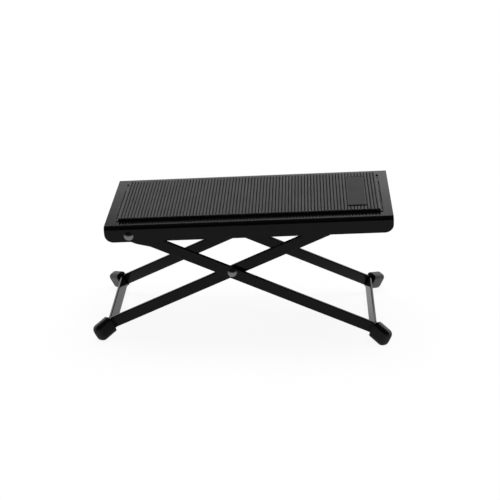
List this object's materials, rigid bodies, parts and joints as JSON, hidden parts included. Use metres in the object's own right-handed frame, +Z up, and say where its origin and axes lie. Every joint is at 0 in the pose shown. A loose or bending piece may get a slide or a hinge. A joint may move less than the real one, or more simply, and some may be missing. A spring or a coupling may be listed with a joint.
{
  "type": "folding guitar footrest",
  "caption": "Folding guitar footrest: ribbed rubber mat on a bent sheet-steel tread, two crossed strip-steel leg frames on riveted pivots, rubber corner feet.",
  "frame": {"origin": "on the floor, under the middle of the footrest's bounding box", "axes": "+X along the tread from its hinged end to its open end, +Y from front to back, +Z up"},
  "size_m": [0.3038, 0.1396, 0.1425],
  "materials": {
    "powder_coat": "satin black powder coat",
    "mat_rubber": "matt black moulded rubber",
    "foot_rubber": "matt black moulded rubber",
    "rivet_steel": "black nickel, polished dome",
    "rod_steel": "zinc plated",
    "washer_nylon": "black nylon"
  },
  "bodies": {
    "tread": {"tread_plate": "powder_coat", "rubber_mat": "mat_rubber", "mat_pin_left": "powder_coat", "mat_pin_right": "powder_coat", "rack_rail_front": "powder_coat", "rack_rail_rear": "powder_coat", "tread_rivet_front": "rivet_steel", "tread_rivet_rear": "rivet_steel", "tread_washer_front": "washer_nylon", "tread_washer_rear": "washer_nylon"},
    "outer_frame": {"outer_leg_frame": "powder_coat", "cross_rivet_front": "rivet_steel", "cross_rivet_rear": "rivet_steel", "cross_washer_front": "washer_nylon", "cross_washer_rear": "washer_nylon", "foot_front_right": "foot_rubber", "foot_rear_right": "foot_rubber"},
    "inner_frame": {"inner_leg_frame": "powder_coat", "lock_rod": "rod_steel", "foot_front_left": "foot_rubber", "foot_rear_left": "foot_rubber"}
  },
  "joints": [
    {"name": "tread_hinge", "type": "hinge", "parent": "tread", "child": "outer_frame", "pos_m": [-0.10909, 0, 0.11727], "axis": [0, 1, 0], "range_deg": [-25.98, 16]},
    {"name": "cross_hinge", "type": "hinge", "parent": "outer_frame", "child": "inner_frame", "pos_m": [-0.00899, 0, 0.07437], "axis": [0, 1, 0], "range_deg": [-30.3, 49.2]}
  ],
  "couplings": [
    {"joint": "cross_hinge", "follows": "tread_hinge", "ratio": -1.8908}
  ]
}
